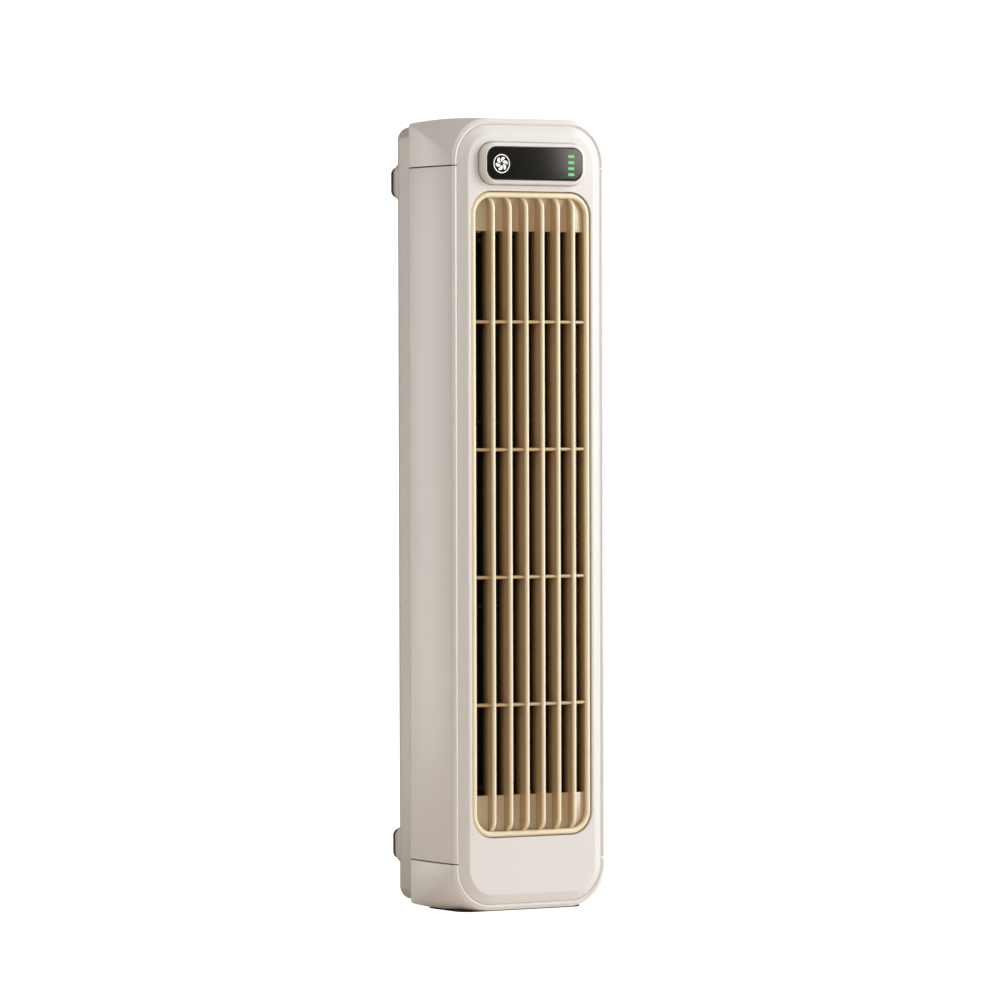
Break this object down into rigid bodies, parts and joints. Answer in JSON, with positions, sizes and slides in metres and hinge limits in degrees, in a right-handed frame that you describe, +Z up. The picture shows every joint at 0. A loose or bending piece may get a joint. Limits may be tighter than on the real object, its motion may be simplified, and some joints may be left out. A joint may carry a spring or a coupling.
{
  "type": "tower fan",
  "caption": "Slim upright tower fan with a finned outlet, cross-flow impeller, touch display and rear rubber pads.",
  "frame": {"origin": "centre of the bounding box's bottom face, on the surface that the foot stands on", "axes": "+Z up along the tower; -Y out of the front grille towards the user; +X to the right of someone who faces the front"},
  "size_m": [0.075, 0.063, 0.33],
  "materials": {
    "case": "satin warm white moulded plastic",
    "grille": "satin champagne moulded plastic",
    "window": "polished dark tinted acrylic",
    "print": "white print behind the window",
    "clear": "clear moulded light guide",
    "lamp": "green indicator lamp",
    "board": "green solder mask",
    "dark_rubber": "dark grey rubber",
    "duct": "champagne moulded plastic in the duct",
    "wheel": "dark moulded plastic",
    "steel": "bright steel",
    "bronze": "sintered bronze",
    "battery": "battery shrink wrap"
  },
  "bodies": {
    "case": {"top_cap": "case", "bottom_cap": "case", "left_side_panel": "case", "right_side_panel": "case", "front_cover": "case", "rear_cover": "case", "outlet_grille": "grille", "display_bezel": "case", "display_window": "window", "light_guide": "clear", "led_1": "lamp", "led_2": "lamp", "led_3": "lamp", "led_4": "lamp", "control_board": "board", "touch_spring": "steel", "upper_partition": "duct", "lower_partition": "duct", "rear_guide": "wheel", "tongue_plate": "wheel", "upper_bearing": "bronze", "bearing_cushion": "dark_rubber", "motor_can": "steel", "motor_damper": "dark_rubber", "motor_screw_1": "steel", "motor_screw_2": "steel", "rear_pad_1": "dark_rubber", "rear_pad_2": "dark_rubber", "rear_pad_3": "dark_rubber", "rear_pad_4": "dark_rubber", "housing_screw_1": "steel", "housing_screw_2": "steel", "housing_screw_3": "steel", "housing_screw_4": "steel", "battery_pack": "battery", "power_board": "board", "charging_socket": "steel", "socket_insert": "dark_rubber", "base_pad": "dark_rubber"},
    "wheel": {"impeller": "wheel", "impeller_shaft": "steel", "coupling_bush": "dark_rubber", "motor_shaft": "steel"}
  },
  "joints": [
    {"name": "impeller_spin", "type": "hinge", "parent": "case", "child": "wheel", "pos_m": [-0.005, 0.00045, 0.16515], "axis": [0, 0, 1], "continuous": true}
  ]
}
